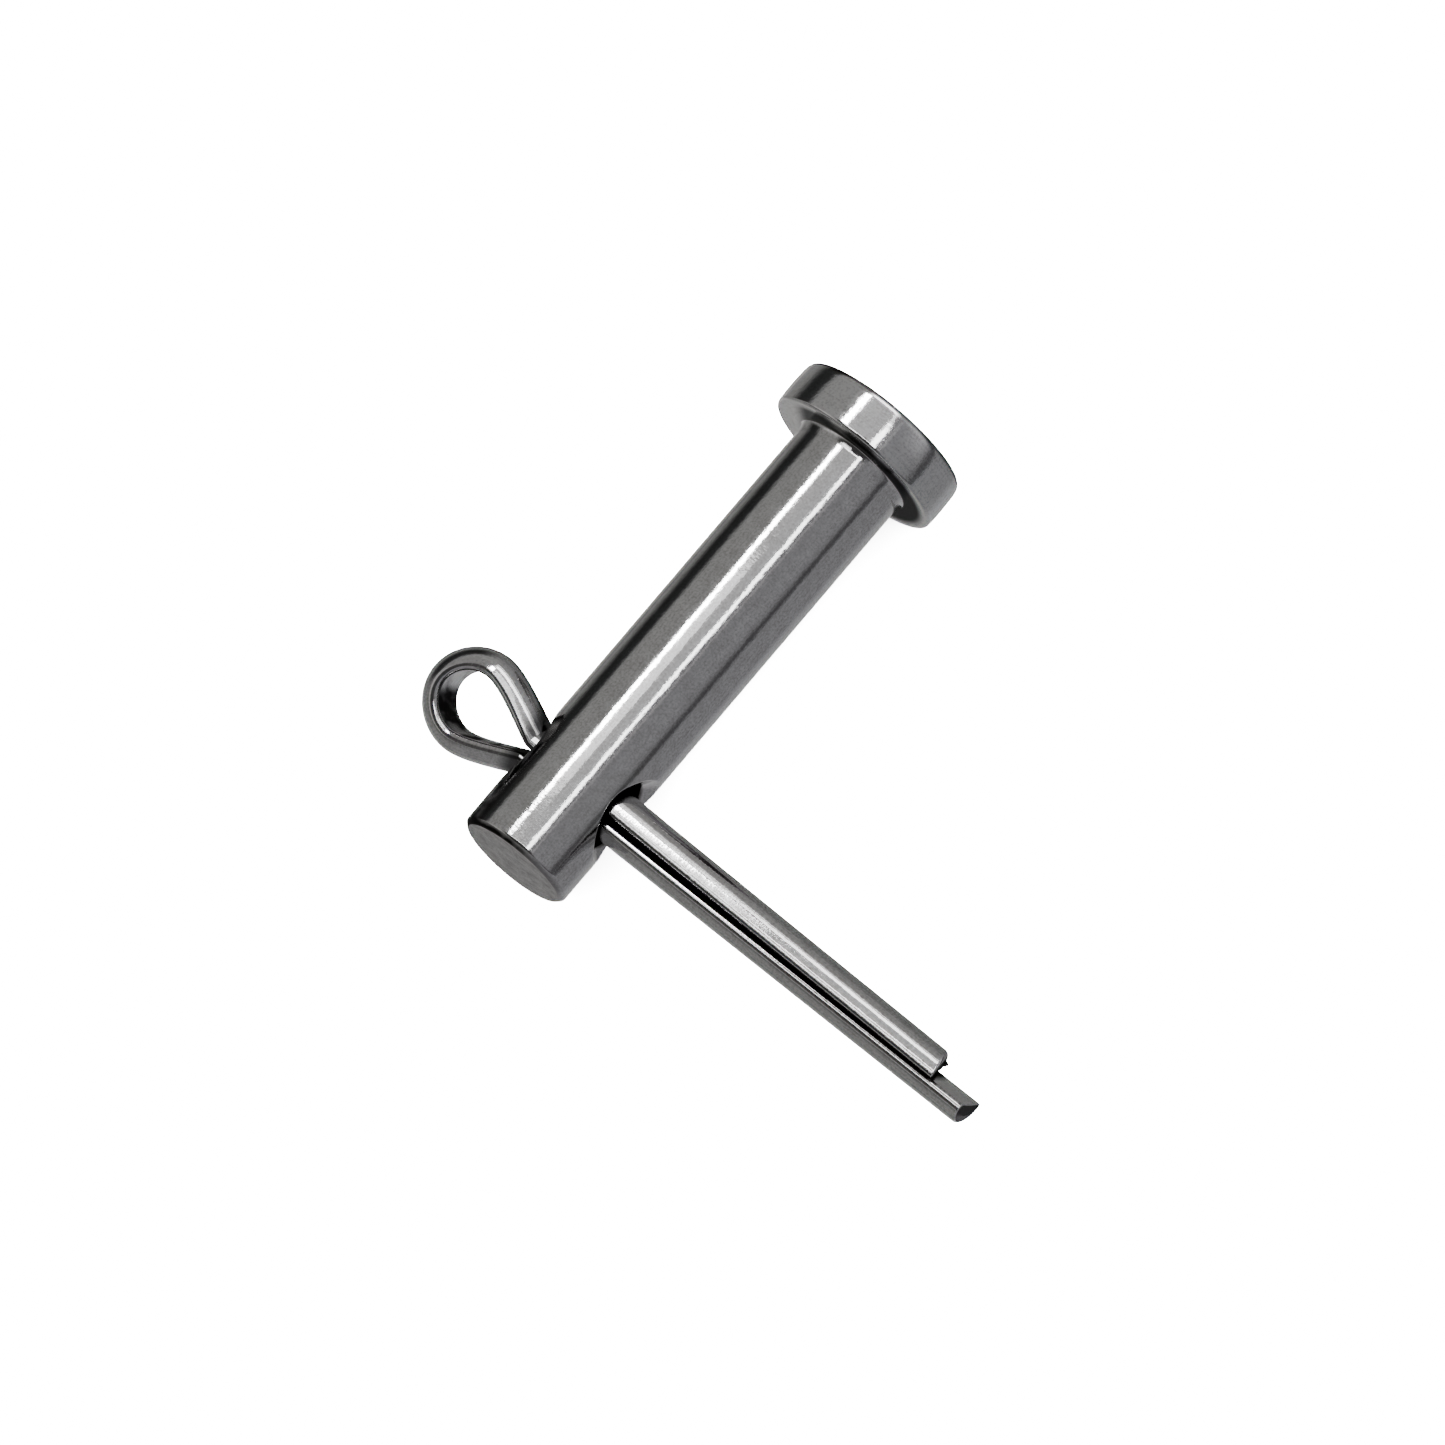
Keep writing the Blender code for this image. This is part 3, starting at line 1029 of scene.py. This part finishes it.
def walls(x, y, z):
    """How bright the box is in each direction, apart from its lamp."""
    left, right = (-x).above(*SIDE_EDGE), x.above(*SIDE_EDGE)
    front, back = (-y).above(*FRONT_EDGE), y.above(*BACK_EDGE)
    ceiling = CEILING + left * LEFT_CEILING - right * z.below(*RIGHT_CEILING_TOP) * RIGHT_CEILING
    ceiling = ceiling + back * z.above(*BACK_CEILING_LOW) * BACK_CEILING
    opening = (-y).above(*OPENING_FRONT) * x.math("ABSOLUTE").below(*OPENING_SIDE)
    opening = opening * z.above(*OPENING_LOW) * OPENING
    corners = (x * y).above(*CORNER_EDGE) * z.above(*CORNER_LOW) * CORNER
    ceiling = ceiling * (1.0 - opening) + corners
    ground = GROUND + (-z).above(*STRAIGHT_DOWN_EDGE) * STRAIGHT_DOWN - back * BACK_GROUND
    ground = ground + left * (-z).above(*LEFT_GROUND_EDGE) * LEFT_GROUND
    room = ground + z.above(*HORIZON) * (ceiling - ground)
    level = 1.0 - z.above(*LEFT_GAP_TOP) - (-z).above(*LEFT_GAP_LOW)
    left_gap = left * level * y.above(*LEFT_GAP_FRONT) * LEFT_GAP
    level = z.above(*FRONT_GAP_LOW) * z.below(*FRONT_GAP_TOP)
    front_gap = front * level * (-x).above(*FRONT_GAP_LEFT) * FRONT_GAP
    level = z.above(*RIGHT_GAP_LOW) * z.below(*RIGHT_GAP_TOP)
    right_gap = right * level * RIGHT_GAP
    return room * (1.0 - left_gap) * (1.0 - front_gap) * (1.0 - right_gap)


def studio_world():
    """Plain white to the camera. What the steel reflects is the inside of a light box."""
    world = bpy.data.worlds.new("light_box")
    bpy.context.scene.world = world
    world.use_nodes = True
    tree = world.node_tree
    tree.nodes.clear()
    x, y, z = coordinates(tree, "Generated")
    shaded = tree.nodes.new("ShaderNodeBackground")
    tree.links.new(blend(tree, x.above(*WARM_TO_COOL), WARM, COOL), shaded.inputs["Color"])
    feed(tree, walls(x, y, z), shaded.inputs["Strength"])
    white = tree.nodes.new("ShaderNodeBackground")
    white.inputs["Strength"].default_value = FLOOR_LIGHT
    choice = tree.nodes.new("ShaderNodeMixShader")
    ray = tree.nodes.new("ShaderNodeLightPath")
    out = tree.nodes.new("ShaderNodeOutputWorld")
    tree.links.new(ray.outputs["Is Camera Ray"], choice.inputs[0])
    tree.links.new(shaded.outputs[0], choice.inputs[1])
    tree.links.new(white.outputs[0], choice.inputs[2])
    tree.links.new(choice.outputs[0], out.inputs[0])


def camera():
    """The camera, rolled about its own view."""
    data = bpy.data.cameras.new("view")
    made = bpy.data.objects.new("view", data)
    bpy.context.scene.collection.objects.link(made)
    data.sensor_width = SENSOR
    data.lens = SENSOR * VIEW_DISTANCE / VIEW_WIDTH
    data.clip_start, data.clip_end = CLIP
    flat = math.cos(VIEW_ELEVATION)
    back = Vector(
        (math.sin(VIEW_AZIMUTH) * flat, -math.cos(VIEW_AZIMUTH) * flat, math.sin(VIEW_ELEVATION))
    )
    right = Vector((0, 0, 1)).cross(back).normalized()
    up = back.cross(right)
    turned_right = right * math.cos(VIEW_ROLL) - up * math.sin(VIEW_ROLL)
    turned_up = back.cross(turned_right)
    made.matrix_world = Matrix.Translation(AIM + back * VIEW_DISTANCE) @ Matrix(
        (turned_right, turned_up, back)
    ).transposed().to_4x4()
    bpy.context.scene.camera = made


pin = clevis_pin()
pin.data.materials.append(steel("pin_steel", paint_pin))
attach(pin, "pin_body")
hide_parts("clevis_pin")

cotter = cotter_pin()
cotter.data.materials.append(steel("cotter_steel", paint_cotter))
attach(cotter, "cotter_body")
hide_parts("cotter_pin")

floor()
floor_light()
lamps()
studio_world()
camera()
